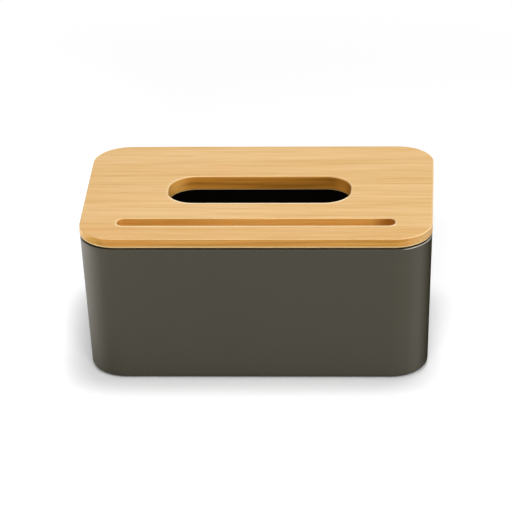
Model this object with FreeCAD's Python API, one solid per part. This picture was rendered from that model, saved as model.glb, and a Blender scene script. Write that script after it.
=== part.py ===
"""Tissue box with a lift-off wooden lid, in millimetres.

A drafted, injection-moulded plastic tub stands on four pads. A wooden board closes it, milled
underneath in two steps: the first sits on the tub's rim and leaves a narrow shadow gap all round,
and the second drops inside the walls. The board has a rounded opening that the tissues are pulled
through, and in front of that a blind groove that a phone stands in.

Frame: origin at the centre of the footprint, on the surface that the pads stand on. +X to the
right, +Y to the back, +Z up.
"""

import FreeCAD
import Part
import math
import os

# ---- driving dimensions ----

# Lid board, in plan
LID_LENGTH = 225.0
LID_WIDTH = 143.0
CORNER_RADIUS = 24.5

# Heights
OVERALL_HEIGHT = 102.0
BOARD_THICKNESS = 9.8
EDGE_THICKNESS = 6.1  # the part of the board that shows above the tub

# Opening for the tissues
OPENING_LENGTH = 118.5
OPENING_WIDTH = 40.5
OPENING_CORNER = 17.5

# Groove that a phone stands in
GROOVE_LENGTH = 177.0
GROOVE_WIDTH = 10.5
GROOVE_CORNER = 4.0
GROOVE_DEPTH = 6.0
GROOVE_MARGIN = 20.5  # from the board's front edge to the groove
GROOVE_TO_OPENING = 23.5

WOOD_ROUND = 0.8  # rounding that sanding leaves on the board's edges

# Fit of the lid on the tub
LID_OVERHANG = 0.25
SHADOW_GAP = 1.3  # between the board's edge and the rim
SEAT_INSET = 1.8  # from the tub's outside to the board's seat on the rim
LID_CLEARANCE = 0.8  # between the board's lower step and the tub's wall, at the rim

# Tub
WALL = 3.0
FLOOR_THICKNESS = 2.4
DRAFT_ANGLE = 2.2  # each wall leans in towards the base by this many degrees
RIM_ROUND = 0.6
BASE_ROUND = 4.0
INNER_FLOOR_ROUND = 1.5

# Underside of the tub, and the pads stuck in its recess
BASE_RECESS = 1.2
BASE_RING_WIDTH = 7.0
PAD_DIAMETER = 12.0
PAD_PROUD = 0.8  # how far a pad stands out below the tub
PAD_INSET = 14.0  # from the recess's edge to a pad's centre
PAD_CHAMFER = 0.3

# ---- sizes and places that follow ----

SLOPE = math.tan(math.radians(DRAFT_ANGLE))

LID_TOP = OVERALL_HEIGHT
EDGE_UNDERSIDE = LID_TOP - EDGE_THICKNESS
RIM = EDGE_UNDERSIDE - SHADOW_GAP
LID_UNDERSIDE = LID_TOP - BOARD_THICKNESS
GROOVE_BOTTOM = LID_TOP - GROOVE_DEPTH

BASE = PAD_PROUD
RECESS_TOP = BASE + BASE_RECESS
FLOOR = RECESS_TOP + FLOOR_THICKNESS

TUB_LENGTH = LID_LENGTH - 2 * LID_OVERHANG
TUB_WIDTH = LID_WIDTH - 2 * LID_OVERHANG
TUB_CORNER = CORNER_RADIUS - LID_OVERHANG

STEP_INSET = WALL + LID_CLEARANCE
LEAN_AT_BASE = SLOPE * (RIM - BASE)
LEAN_AT_FLOOR = SLOPE * (RIM - FLOOR)

GROOVE_Y = -LID_WIDTH / 2 + GROOVE_MARGIN + GROOVE_WIDTH / 2
OPENING_Y = GROOVE_Y + GROOVE_WIDTH / 2 + GROOVE_TO_OPENING + OPENING_WIDTH / 2

TOLERANCE = 1e-4  # for finding edges by where they lie

# ---- shapes that several pieces use ----


def rounded_outline(length, width, radius, height, centre_y=0.0):
    """A level rectangle with round corners, whose radius is at most half its shorter side."""
    radius = min(radius, length / 2, width / 2)
    reach_x = length / 2 - radius
    reach_y = width / 2 - radius
    up = FreeCAD.Vector(0, 0, 1)
    corners = []
    for turn, (side_x, side_y) in enumerate(((1, 1), (-1, 1), (-1, -1), (1, -1))):
        centre = FreeCAD.Vector(side_x * reach_x, centre_y + side_y * reach_y, height)
        corners.append(Part.makeCircle(radius, centre, up, 90 * turn, 90 * turn + 90))
    edges = []
    for corner, following in zip(corners, corners[1:] + corners[:1]):
        end = corner.valueAt(corner.LastParameter)
        start = following.valueAt(following.FirstParameter)
        edges.append(corner)
        if end.distanceToPoint(start) > TOLERANCE:
            edges.append(Part.makeLine(end, start))
    return Part.Wire(edges)


def upright_block(foot, depth):
    """The solid that stands on a level outline."""
    return Part.Face(foot).extrude(FreeCAD.Vector(0, 0, depth))


def tub_outline(inset, lean, height):
    """The tub's outline at its rim, that far inside, then drawn in by the lean.

    The inset makes the corners tighter, and the lean keeps their radius.
    """
    length = TUB_LENGTH - 2 * (inset + lean)
    width = TUB_WIDTH - 2 * (inset + lean)
    return rounded_outline(length, width, TUB_CORNER - inset, height)


def drafted_block(inset, low, lean):
    """A block that reaches up to the rim, with sides that lean in towards its foot."""
    foot = tub_outline(inset, lean, low)
    mouth = tub_outline(inset, 0.0, RIM)
    return Part.makeLoft([foot, mouth], True, True)


def level_edges(shape, *heights):
    """The edges that lie in the level planes at these heights."""
    return [
        edge
        for edge in shape.Edges
        for height in heights
        if abs(edge.BoundBox.ZMin - height) < TOLERANCE
        and abs(edge.BoundBox.ZMax - height) < TOLERANCE
    ]


def mouth_edges(board, cutter):
    """The edges that a cutter has left in the board's top and bottom faces."""
    reach = cutter.BoundBox
    reach.enlarge(TOLERANCE)
    return [edge for edge in level_edges(board, LID_TOP, LID_UNDERSIDE) if reach.isInside(edge.BoundBox)]


# ---- the pieces ----


def make_tub():
    """The moulded tub: drafted walls of one thickness, a floor, and a recessed underside."""
    outside = drafted_block(0.0, BASE, LEAN_AT_BASE)
    outside = outside.makeFillet(BASE_ROUND, level_edges(outside, BASE))
    cavity = drafted_block(WALL, FLOOR, LEAN_AT_FLOOR)
    cavity = cavity.makeFillet(INNER_FLOOR_ROUND, level_edges(cavity, FLOOR))
    recess = upright_block(tub_outline(BASE_RING_WIDTH, LEAN_AT_BASE, BASE), BASE_RECESS)
    tub = outside.cut(cavity).cut(recess)
    return tub.makeFillet(RIM_ROUND, level_edges(tub, RIM))


def make_lid_board():
    """The board: its edge, its seat on the rim, the step inside the walls, the opening and the groove."""
    edge = upright_block(tub_outline(-LID_OVERHANG, 0.0, EDGE_UNDERSIDE), EDGE_THICKNESS)
    edge = edge.makeFillet(WOOD_ROUND, level_edges(edge, LID_TOP, EDGE_UNDERSIDE))
    seat = upright_block(tub_outline(SEAT_INSET, 0.0, RIM), SHADOW_GAP)
    step = upright_block(tub_outline(STEP_INSET, 0.0, LID_UNDERSIDE), RIM - LID_UNDERSIDE)
    step = step.makeFillet(WOOD_ROUND, level_edges(step, LID_UNDERSIDE))
    board = edge.fuse(seat).fuse(step)

    opening_foot = rounded_outline(OPENING_LENGTH, OPENING_WIDTH, OPENING_CORNER, LID_UNDERSIDE, OPENING_Y)
    opening = upright_block(opening_foot, BOARD_THICKNESS)
    groove_foot = rounded_outline(GROOVE_LENGTH, GROOVE_WIDTH, GROOVE_CORNER, GROOVE_BOTTOM, GROOVE_Y)
    groove = upright_block(groove_foot, GROOVE_DEPTH)
    board = board.cut(opening).cut(groove)
    return board.makeFillet(WOOD_ROUND, mouth_edges(board, opening) + mouth_edges(board, groove))


def make_pad(side_x, side_y):
    """One soft pad, stuck to the recessed underside near a corner."""
    inset = LEAN_AT_BASE + BASE_RING_WIDTH + PAD_INSET
    centre = FreeCAD.Vector(side_x * (TUB_LENGTH / 2 - inset), side_y * (TUB_WIDTH / 2 - inset), 0)
    pad = Part.makeCylinder(PAD_DIAMETER / 2, RECESS_TOP, centre)
    return pad.makeChamfer(PAD_CHAMFER, level_edges(pad, 0.0))


def main():
    os.makedirs("parts", exist_ok=True)
    parts = {"tub": make_tub(), "lid_board": make_lid_board()}
    for name_y, side_y in (("front", -1), ("rear", 1)):
        for name_x, side_x in (("left", -1), ("right", 1)):
            parts[f"pad_{name_y}_{name_x}"] = make_pad(side_x, side_y)
    for name, shape in parts.items():
        shape.exportStep(f"parts/{name}.step")
        print(name, len(shape.Solids), shape.isValid(), round(shape.Volume, 1))


main()
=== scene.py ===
"""The looks of the tissue box: materials, floor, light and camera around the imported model, in metres."""

import math

import bpy
from mathutils import Matrix, Vector

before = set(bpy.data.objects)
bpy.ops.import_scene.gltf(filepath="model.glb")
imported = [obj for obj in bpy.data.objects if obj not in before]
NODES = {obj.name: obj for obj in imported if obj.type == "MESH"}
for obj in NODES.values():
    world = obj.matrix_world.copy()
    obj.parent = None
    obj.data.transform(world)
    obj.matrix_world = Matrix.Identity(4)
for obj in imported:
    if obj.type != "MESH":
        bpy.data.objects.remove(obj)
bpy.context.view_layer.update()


def paint(red, green, blue):
    """A colour written as 8-bit sRGB, in the linear values that shaders take."""
    linear = []
    for level in (red, green, blue):
        share = level / 255
        linear.append(share / 12.92 if share <= 0.04045 else ((share + 0.055) / 1.055) ** 2.4)
    return (*linear, 1.0)


WHITE = (1.0, 1.0, 1.0, 1.0)

# ---- places on the board ----

OPENING = {"centre_y": 0.00325, "length": 0.1185, "width": 0.0405, "corner": 0.0175}
GROOVE = {"centre_y": -0.04575, "length": 0.177, "width": 0.0105, "corner": 0.004}
CUT_MARGIN = 0.001  # beyond a cutout's outline, where its stained wall ends
LIP_WIDTH = 0.0022  # of the painted highlight along the lip in front of a cutout
GROOVE_END = (0.072, 0.084)  # from here to there the groove's wall darkens towards its right end
FRONT_STAVE = (-0.050, -0.054)  # from here to there the grain changes to the stave before the groove
EDGE_FOOT = 0.0959  # the height of the foot of the board's visible edge
FOOT_BAND = (EDGE_FOOT + 0.0015, EDGE_FOOT + 0.0009)  # where the painted highlight band along that foot sets in

# ---- colours of the wood ----

GRAIN_DARK = paint(209, 164, 97)
GRAIN_PALE = paint(231, 194, 140)
PATCH = paint(226, 175, 115)
PORE = paint(192, 143, 83)
# Painted highlights on the lips and arrises, and along the foot of the board's edge
PAINTED_EDGE_HIGHLIGHT = paint(255, 241, 200)
PAINTED_FOOT_HIGHLIGHT = paint(255, 226, 160)
WOOD_NOOK_PAINTED_SHADE = paint(60, 40, 20)

# These are multiplied into the grain
STAVE_TINT = paint(251, 245, 236)
STAIN_DARK = paint(226, 202, 139)
STAIN_PALE = paint(248, 225, 172)
# Painted light on the board's edge where it faces left or right
PAINTED_LIGHT_FACING_LEFT = paint(251, 238, 151)
PAINTED_LIGHT_FACING_FAR_LEFT = paint(255, 247, 200)
PAINTED_LIGHT_FACING_RIGHT = paint(255, 255, 250)
GROOVE_STAIN_RIGHT = paint(248, 233, 183)
GROOVE_STAIN_LEFT = paint(236, 213, 151)
GROOVE_STAIN_END = paint(196, 158, 87)

# These stand for themselves, on the opening's wall
WALL_DARK = paint(162, 103, 30)
WALL_PALE = paint(214, 145, 54)
# Painted light on the opening's left and right ends
WALL_LEFT_END_PAINTED_LIGHT = paint(236, 176, 86)
WALL_RIGHT_END_PAINTED_LIGHT_DARK = paint(245, 162, 58)
WALL_RIGHT_END_PAINTED_LIGHT_PALE = paint(255, 180, 74)

# ---- colours of the plastic and the rubber ----

PLASTIC_DARK = paint(66, 62, 51)
PLASTIC_PALE = paint(72, 69, 57)
# Painted light, highlights and shade on the tub's corners, right end and rim
PLASTIC_LIT = paint(98, 93, 80)
PLASTIC_PAINTED_SOFT_HIGHLIGHT = paint(74, 70, 59)
PLASTIC_SHADED = paint(61, 58, 47)
RIM_GLINT = paint(172, 168, 158)
PLASTIC_NOOK_PAINTED_SHADE = paint(20, 17, 12)
RUBBER_DARK = paint(22, 22, 22)
RUBBER_PALE = paint(44, 43, 42)

# ---- node trees ----

# Painted shade: the colour darkens where other faces are near, as in the gap under the board.
NOOK_REACH = 0.002  # how near other faces have to be for a nook to stay dark
NOOK_OPEN = 0.65  # with this share of its surroundings open, a point is in no nook
NOOK_SHUT = 0.3  # and with this share it is deep in one
NOOK_DEPTH = 0.92


class Shader:
    """A node tree of a material or a world, with one short method for each kind of node that is used."""

    def __init__(self, owner):
        self.owner = owner
        self.owner.use_nodes = True
        self.tree = self.owner.node_tree
        self.tree.nodes.clear()

    def node(self, kind, inputs=None, **settings):
        made = self.tree.nodes.new(kind)
        for key, value in settings.items():
            setattr(made, key, value)
        for key, value in (inputs or {}).items():
            self.set(made.inputs[key], value)
        return made

    def set(self, socket, value):
        if isinstance(value, bpy.types.NodeSocket):
            self.tree.links.new(value, socket)
        else:
            socket.default_value = value

    def math(self, operation, *values):
        made = self.node("ShaderNodeMath", operation=operation)
        for socket, value in zip(made.inputs, values):
            self.set(socket, value)
        return made.outputs[0]

    def product(self, first, *others):
        for other in others:
            first = self.math("MULTIPLY", first, other)
        return first

    def vector(self, operation, first, second):
        made = self.node("ShaderNodeVectorMath", {0: first, 1: second}, operation=operation)
        return made.outputs[0]

    def split(self, vector):
        """The parts of a vector, named X, Y and Z."""
        return self.node("ShaderNodeSeparateXYZ", {0: vector}).outputs

    def noise(self, place, scale, detail=2.0, roughness=0.5, output="Fac"):
        """Noise from 0 to 1, with its own scale along each axis, in cycles per metre."""
        stretched = self.vector("MULTIPLY", place, scale)
        inputs = {"Vector": stretched, "Scale": 1.0, "Detail": detail, "Roughness": roughness}
        return self.node("ShaderNodeTexNoise", inputs, noise_dimensions="3D").outputs[output]

    def step(self, value, low, high, to_low=0.0, to_high=1.0):
        """A smooth change from one value to another, as the input goes from low to high."""
        inputs = {"Value": value, "From Min": low, "From Max": high, "To Min": to_low, "To Max": to_high}
        made = self.node("ShaderNodeMapRange", inputs, interpolation_type="SMOOTHSTEP")
        return made.outputs["Result"]

    def mix(self, share, first, second, blend="MIX"):
        """From the first colour to the second, as the share goes from 0 to 1."""
        settings = {"data_type": "RGBA", "blend_type": blend, "clamp_factor": True}
        return self.node("ShaderNodeMix", {0: share, 6: first, 7: second}, **settings).outputs[2]

    def mix_value(self, share, first, second):
        """The same between two plain values."""
        settings = {"data_type": "FLOAT", "clamp_factor": True}
        return self.node("ShaderNodeMix", {0: share, 2: first, 3: second}, **settings).outputs[0]

    def tint(self, colour, by):
        """Two colours multiplied."""
        return self.mix(1.0, colour, by, blend="MULTIPLY")

    def nook(self):
        """How much painted shade a point gets in a narrow nook: 0 in the open, nearly 1 in the gap under the
        board.
        """
        inputs = {"Color": WHITE, "Distance": NOOK_REACH}
        made = self.node("ShaderNodeAmbientOcclusion", inputs, samples=8)
        return self.step(made.outputs["AO"], NOOK_OPEN, NOOK_SHUT, 0.0, NOOK_DEPTH)

    def bump(self, height, distance, strength):
        inputs = {"Height": height, "Distance": distance, "Strength": strength}
        return self.node("ShaderNodeBump", inputs).outputs["Normal"]

    def surface(self, **inputs):
        """Ends the tree in a Principled surface, and gives the material."""
        named = {key.replace("_", " "): value for key, value in inputs.items()}
        return self.end("ShaderNodeOutputMaterial", self.node("ShaderNodeBsdfPrincipled", named).outputs[0])

    def end(self, kind, shown):
        """Ends the tree in an output of that kind, and gives what the tree belongs to."""
        self.node(kind, {"Surface": shown})
        return self.owner


# ---- materials ----


def cutout(sh, axes, centre_y, length, width, corner):
    """A rectangle with round corners that is milled into the board.

    Gives how far a point lies outside it, and a share that is 1 along its front edge and 0 behind.
    """
    across = sh.math("SUBTRACT", axes["Y"], centre_y)
    squares = []
    for value, reach in ((axes["X"], length / 2), (across, width / 2)):
        beside = sh.math("SUBTRACT", sh.math("ABSOLUTE", value), reach - corner)
        beside = sh.math("MAXIMUM", beside, 0.0)
        squares.append(sh.math("MULTIPLY", beside, beside))
    away = sh.math("SUBTRACT", sh.math("SQRT", sh.math("ADD", *squares)), corner)
    return away, sh.step(across, -0.2 * width, -0.45 * width)


def stained_grain(sh, colour, axes, facing, streaks, past_groove):
    """The grain's colour where it is milled: on the board's edge and in the groove, with painted light where
    the edge faces left or right and a painted highlight along its foot.
    """
    in_groove = sh.mix(sh.step(axes["X"], 0.0, -0.05), GROOVE_STAIN_RIGHT, GROOVE_STAIN_LEFT)
    in_groove = sh.mix(sh.step(axes["X"], *GROOVE_END), in_groove, GROOVE_STAIN_END)
    stain_and_painted_light = sh.mix(sh.step(streaks, 0.38, 0.62), STAIN_DARK, STAIN_PALE)
    # Painted light: paler and yellower where the edge faces left, paler where it faces right.
    stain_and_painted_light = sh.mix(sh.step(facing["X"], -0.2, -0.7), stain_and_painted_light, PAINTED_LIGHT_FACING_LEFT)
    stain_and_painted_light = sh.mix(sh.step(facing["X"], -0.6, -0.9), stain_and_painted_light, PAINTED_LIGHT_FACING_FAR_LEFT)
    stain_and_painted_light = sh.mix(sh.step(facing["X"], 0.2, 0.8), stain_and_painted_light, PAINTED_LIGHT_FACING_RIGHT)
    # Painted highlight: the tint gives way to white in a band along the foot of the edge.
    stain_and_painted_light = sh.mix(sh.step(axes["Z"], *FOOT_BAND), stain_and_painted_light, WHITE)
    stain_and_painted_light = sh.mix(sh.step(past_groove, CUT_MARGIN, 0.0), stain_and_painted_light, in_groove)
    return sh.tint(colour, stain_and_painted_light)


def opening_wall(sh, facing, layers):
    """The colour of the opening's wall, in thin level layers, with painted light making it lighter round both
    ends.
    """
    colour = sh.mix(layers, WALL_DARK, WALL_PALE)
    # Painted light on both ends of the opening.
    colour = sh.mix(sh.step(facing["X"], 0.2, 0.9), colour, WALL_LEFT_END_PAINTED_LIGHT)
    right_end = sh.mix(layers, WALL_RIGHT_END_PAINTED_LIGHT_DARK, WALL_RIGHT_END_PAINTED_LIGHT_PALE)
    return sh.mix(sh.step(facing["X"], -0.2, -0.9), colour, right_end)


def painted_edge_highlights(sh, colour, facing, level, cutouts):
    """That colour with painted highlights on the lips in front of the cutouts and on the arrises along the
    board's edge.
    """
    lips = []
    for past, in_front, share in cutouts:
        beside = sh.step(past, LIP_WIDTH, LIP_WIDTH / 2, 0.0, share)
        lips.append(sh.math("MULTIPLY", beside, sh.math("MULTIPLY_ADD", in_front, 0.9, 0.1)))
    lip = sh.product(sh.math("MAXIMUM", *lips), sh.step(facing["Z"], 0.6, 0.9))
    arris = sh.product(sh.step(level, 0.99, 0.9), sh.step(level, 0.05, 0.25))
    below = sh.product(arris, sh.step(facing["Z"], 0.1, -0.1))
    above = sh.product(arris, sh.step(facing["Z"], 0.1, 0.5), sh.step(facing["X"], 0.0, 0.6, 0.1, 0.35))
    # Painted highlights: the lips and the lower and upper arrises are paler, the upper one more where it
    # faces right.
    colour = sh.mix(lip, colour, PAINTED_EDGE_HIGHLIGHT)
    colour = sh.mix(below, colour, PAINTED_FOOT_HIGHLIGHT)
    return sh.mix(above, colour, PAINTED_EDGE_HIGHLIGHT)


def wood():
    """Pale honey wood: straight fine grain along X, browner where it is milled, with painted highlights and
    painted light on its edges.
    """
    sh = Shader(bpy.data.materials.new("lid_wood"))
    coordinates = sh.node("ShaderNodeTexCoord").outputs
    place = coordinates["Object"]
    axes = sh.split(place)
    facing = sh.split(coordinates["Normal"])
    level = sh.math("ABSOLUTE", facing["Z"])

    # The grain runs along X, and drifts a little to the sides and up and down
    drift = sh.noise(place, (5.0, 14.0, 14.0), detail=1.0, output="Color")
    drift = sh.vector("SUBTRACT", drift, (0.5, 0.5, 0.5))
    grain_place = sh.vector("ADD", place, sh.vector("MULTIPLY", drift, (0.0, 0.005, 0.005)))
    bands = sh.noise(grain_place, (2.5, 60.0, 60.0))
    lines = sh.noise(grain_place, (15.0, 470.0, 470.0), detail=3.0, roughness=0.6)
    fibres = sh.noise(grain_place, (45.0, 1500.0, 1500.0))
    streaks = sh.noise(grain_place, (6.0, 600.0, 600.0))
    patches = sh.noise(place, (16.0, 34.0, 34.0))
    layers = sh.noise(place, (9.0, 9.0, 420.0))

    tone = sh.math("MULTIPLY", sh.step(bands, 0.3, 0.7), 0.35)
    tone = sh.math("MULTIPLY_ADD", sh.step(lines, 0.3, 0.7), 0.5, tone)
    tone = sh.math("MULTIPLY_ADD", sh.step(fibres, 0.3, 0.7), 0.15, tone)
    colour = sh.mix(tone, GRAIN_DARK, GRAIN_PALE)
    colour = sh.mix(sh.step(patches, 0.45, 0.75, 0.0, 0.35), colour, PATCH)
    colour = sh.mix(sh.step(lines, 0.38, 0.26, 0.0, 0.4), colour, PORE)
    colour = sh.mix(sh.step(axes["Y"], *FRONT_STAVE), colour, sh.tint(colour, STAVE_TINT))

    past_opening, opening_front = cutout(sh, axes, **OPENING)
    past_groove, groove_front = cutout(sh, axes, **GROOVE)
    milled = stained_grain(sh, colour, axes, facing, streaks, past_groove)
    wall = opening_wall(sh, facing, sh.step(layers, 0.3, 0.7))
    milled = sh.mix(sh.step(past_opening, CUT_MARGIN, 0.0), milled, wall)
    colour = sh.mix(sh.step(level, 0.75, 0.2), colour, milled)
    cutouts = ((past_opening, opening_front, 0.8), (past_groove, groove_front, 0.6))
    colour = painted_edge_highlights(sh, colour, facing, level, cutouts)

    return sh.surface(
        # Painted shade in nooks.
        Base_Color=sh.mix(sh.nook(), colour, WOOD_NOOK_PAINTED_SHADE),
        Roughness=sh.step(lines, 0.3, 0.7, 0.52, 0.44),
        Specular_IOR_Level=0.2,
        Normal=sh.bump(sh.math("MULTIPLY_ADD", fibres, 0.5, lines), 0.0001, 0.35),
    )


def tub_plastic():
    """Warm dark grey moulded plastic with a fine matt texture.

    It is painted lighter at the front left corner as if lit there, has a painted soft highlight at the front
    right corner, painted shade and no sheen at the right end, and a painted highlight on its rim at the front
    right corner.
    """
    sh = Shader(bpy.data.materials.new("tub_plastic"))
    coordinates = sh.node("ShaderNodeTexCoord").outputs
    place = coordinates["Object"]
    axes = sh.split(place)
    facing = sh.split(coordinates["Normal"])
    cloud = sh.noise(place, (18.0, 18.0, 18.0), detail=3.0)
    speckle = sh.noise(place, (2600.0, 2600.0, 2600.0), detail=1.0)

    front = sh.product(sh.step(facing["Y"], -0.02, -0.15), sh.step(axes["Y"], 0.0, -0.02))
    # Painted light: the front left corner is paler, as if lit.
    lit = sh.product(front, sh.step(facing["X"], -0.35, -0.95))
    # Painted highlight: a soft lift where the front turns towards the right end.
    painted_soft_highlight = sh.product(front, sh.step(facing["X"], 0.4, 0.6))
    # Painted shade: the right end is darker.
    shaded = sh.product(sh.step(axes["X"], 0.0, 0.02), sh.step(facing["X"], 0.68, 0.95))
    rim = sh.product(sh.step(facing["Z"], 0.05, 0.2), sh.step(facing["Z"], 0.98, 0.9))
    # Painted highlight: the rim is pale at the front right corner.
    glint = sh.product(rim, sh.step(facing["X"], 0.15, 0.4), sh.step(facing["Y"], -0.05, -0.3))

    tone = sh.math("MULTIPLY_ADD", speckle, 0.4, sh.math("MULTIPLY", cloud, 0.6))
    colour = sh.mix(tone, PLASTIC_DARK, PLASTIC_PALE)
    colour = sh.mix(lit, colour, PLASTIC_LIT)
    colour = sh.mix(painted_soft_highlight, colour, PLASTIC_PAINTED_SOFT_HIGHLIGHT)
    colour = sh.mix(shaded, colour, PLASTIC_SHADED)
    colour = sh.mix(glint, colour, RIM_GLINT)
    return sh.surface(
        # Painted shade in nooks.
        Base_Color=sh.mix(sh.nook(), colour, PLASTIC_NOOK_PAINTED_SHADE),
        Roughness=sh.mix_value(glint, sh.step(cloud, 0.3, 0.7, 0.52, 0.58), 0.36),
        Specular_IOR_Level=sh.mix_value(glint, sh.mix_value(shaded, 0.3, 0.0), 1.0),
        Normal=sh.bump(speckle, 0.00004, 0.3),
    )


def pad_rubber():
    """Black foam rubber with small open cells."""
    sh = Shader(bpy.data.materials.new("pad_rubber"))
    place = sh.node("ShaderNodeTexCoord").outputs["Object"]
    cells = sh.noise(place, (1800.0, 1800.0, 1800.0))
    return sh.surface(
        Base_Color=sh.mix(cells, RUBBER_DARK, RUBBER_PALE),
        Roughness=0.85,
        Normal=sh.bump(cells, 0.0002, 0.6),
    )


def dress(nodes, material):
    """Gives CAD nodes their material, in every slot."""
    for node in nodes:
        for slot in NODES[node].material_slots:
            slot.material = material


dress(["lid_board"], wood())
dress(["tub"], tub_plastic())
dress(["pad_front_left", "pad_rear_left", "pad_front_right", "pad_rear_right"], pad_rubber())

# ---- floor and room, which look white ----

FLOOR_REACH = 6.0
FLOOR_SHADOW_END = 0.35  # from the box's centre to where the floor stops showing shadows
FLOOR_WHITE_START = 0.60
FLOOR_WHITE = (0.87, 0.87, 0.875, 1.0)
FLOOR_LIFT = 0.20  # what the floor adds to its own light where the camera sees it, so that it is white
FLOOR_PALE = (0.6, 0.6, 0.6, 1.0)  # what the floor is for all other light
WORLD_LEVEL = 0.10  # what the room is for all other light


def seen(sh):
    """A share that is 1 for what the camera sees, also in gloss and through glass, and 0 for other light."""
    path = sh.node("ShaderNodeLightPath").outputs
    either = sh.math("MAXIMUM", path["Is Camera Ray"], path["Is Glossy Ray"])
    return sh.math("MAXIMUM", either, path["Is Transmission Ray"])


def floor_material():
    """White with the box's soft shadow near the box, and plain white beyond it."""
    sh = Shader(bpy.data.materials.new("floor"))
    pale = sh.node("ShaderNodeBsdfDiffuse", {"Color": FLOOR_PALE}).outputs[0]
    white = sh.node("ShaderNodeBsdfDiffuse", {"Color": FLOOR_WHITE}).outputs[0]
    gloss = sh.node("ShaderNodeLightPath").outputs["Is Glossy Ray"]
    strength = sh.math("MULTIPLY_ADD", gloss, -FLOOR_LIFT, FLOOR_LIFT)
    lift = sh.node("ShaderNodeEmission", {"Color": WHITE, "Strength": strength}).outputs[0]
    near = sh.node("ShaderNodeAddShader", {0: white, 1: lift}).outputs[0]
    far = sh.node("ShaderNodeEmission", {"Color": WHITE, "Strength": 1.0}).outputs[0]
    place = sh.node("ShaderNodeTexCoord").outputs["Object"]
    away = sh.node("ShaderNodeVectorMath", {0: place}, operation="LENGTH").outputs["Value"]
    share = sh.step(away, FLOOR_SHADOW_END, FLOOR_WHITE_START)
    lit = sh.node("ShaderNodeMixShader", {0: share, 1: near, 2: far}).outputs[0]
    shown = sh.node("ShaderNodeMixShader", {0: seen(sh), 1: pale, 2: lit}).outputs[0]
    return sh.end("ShaderNodeOutputMaterial", shown)


def make_floor():
    mesh = bpy.data.meshes.new("floor")
    r = FLOOR_REACH
    mesh.from_pydata([(-r, -r, 0), (r, -r, 0), (r, r, 0), (-r, r, 0)], [], [(0, 1, 2, 3)])
    mesh.materials.append(floor_material())
    floor = bpy.data.objects.new("floor", mesh)
    bpy.context.scene.collection.objects.link(floor)


def make_room():
    """A dim even light from all round, in a room that looks white."""
    sh = Shader(bpy.data.worlds.new("studio"))
    strength = sh.mix_value(seen(sh), WORLD_LEVEL, 1.0)
    room = sh.node("ShaderNodeBackground", {"Color": WHITE, "Strength": strength}).outputs[0]
    bpy.context.scene.world = sh.end("ShaderNodeOutputWorld", room)


make_floor()
make_room()

# ---- lamps ----

AIM = Vector((0.0, 0.0, 0.06))


def area_lamp(name, place, distance, wide, tall, share):
    """A soft rectangular lamp that shines straight down.

    The share is how bright it alone makes a white surface that faces it from that distance, where 1 is white.
    """
    lamp = bpy.data.lights.new(name, "AREA")
    lamp.shape = "RECTANGLE"
    lamp.size = wide
    lamp.size_y = tall
    lamp.energy = share * (math.pi * distance) ** 2
    made = bpy.data.objects.new(name, lamp)
    bpy.context.scene.collection.objects.link(made)
    made.location = place
    return made


def softbox(name, bearing, height, distance, wide, tall, share):
    """A lamp aimed at the box. Bearing is in degrees from the front, to the right; height in degrees up."""
    bearing, height = math.radians(bearing), math.radians(height)
    away = Vector((
        math.sin(bearing) * math.cos(height),
        -math.cos(bearing) * math.cos(height),
        math.sin(height),
    ))
    made = area_lamp(name, AIM + away * distance, distance, wide, tall, share)
    made.rotation_euler = away.to_track_quat("Z", "Y").to_euler()


def floor_wash(name, place, wide, tall, spread, share):
    """A narrow lamp over the floor beside the box, to brighten what the tub reflects."""
    made = area_lamp(name, place, place[2], wide, tall, share)
    made.data.spread = math.radians(spread)


softbox("overhead", bearing=138, height=83, distance=2.0, wide=0.65, tall=0.65, share=0.62)
softbox("key", bearing=6, height=42, distance=2.2, wide=1.2, tall=0.5, share=0.52)
softbox("right", bearing=60, height=8, distance=2.0, wide=0.3, tall=0.3, share=0.30)
floor_wash("wash_left", place=(-0.50, 0.05, 0.7), wide=0.3, tall=0.6, spread=45, share=1.2)

# ---- camera: solved from the box's edges ----

CAMERA_PLACE = (0.12860, -2.00224, 1.03247)
CAMERA_YAW = math.radians(-3.771)  # turned to the left of +Y
CAMERA_PITCH = math.radians(25.961)  # looking down
CAMERA_ROLL = math.radians(1.673)
LENS_MM = 240.05
SENSOR_MM = 36.0


def make_camera():
    data = bpy.data.cameras.new("camera")
    data.sensor_width = SENSOR_MM
    data.lens = LENS_MM
    made = bpy.data.objects.new("camera", data)
    bpy.context.scene.collection.objects.link(made)
    yaw = Matrix.Rotation(-CAMERA_YAW, 4, "Z")
    tilt = Matrix.Rotation(math.pi / 2 - CAMERA_PITCH, 4, "X")
    roll = Matrix.Rotation(-CAMERA_ROLL, 4, "Z")
    made.matrix_world = Matrix.Translation(CAMERA_PLACE) @ yaw @ tilt @ roll
    bpy.context.scene.camera = made


make_camera()
bpy.context.scene.view_settings.view_transform = "Standard"
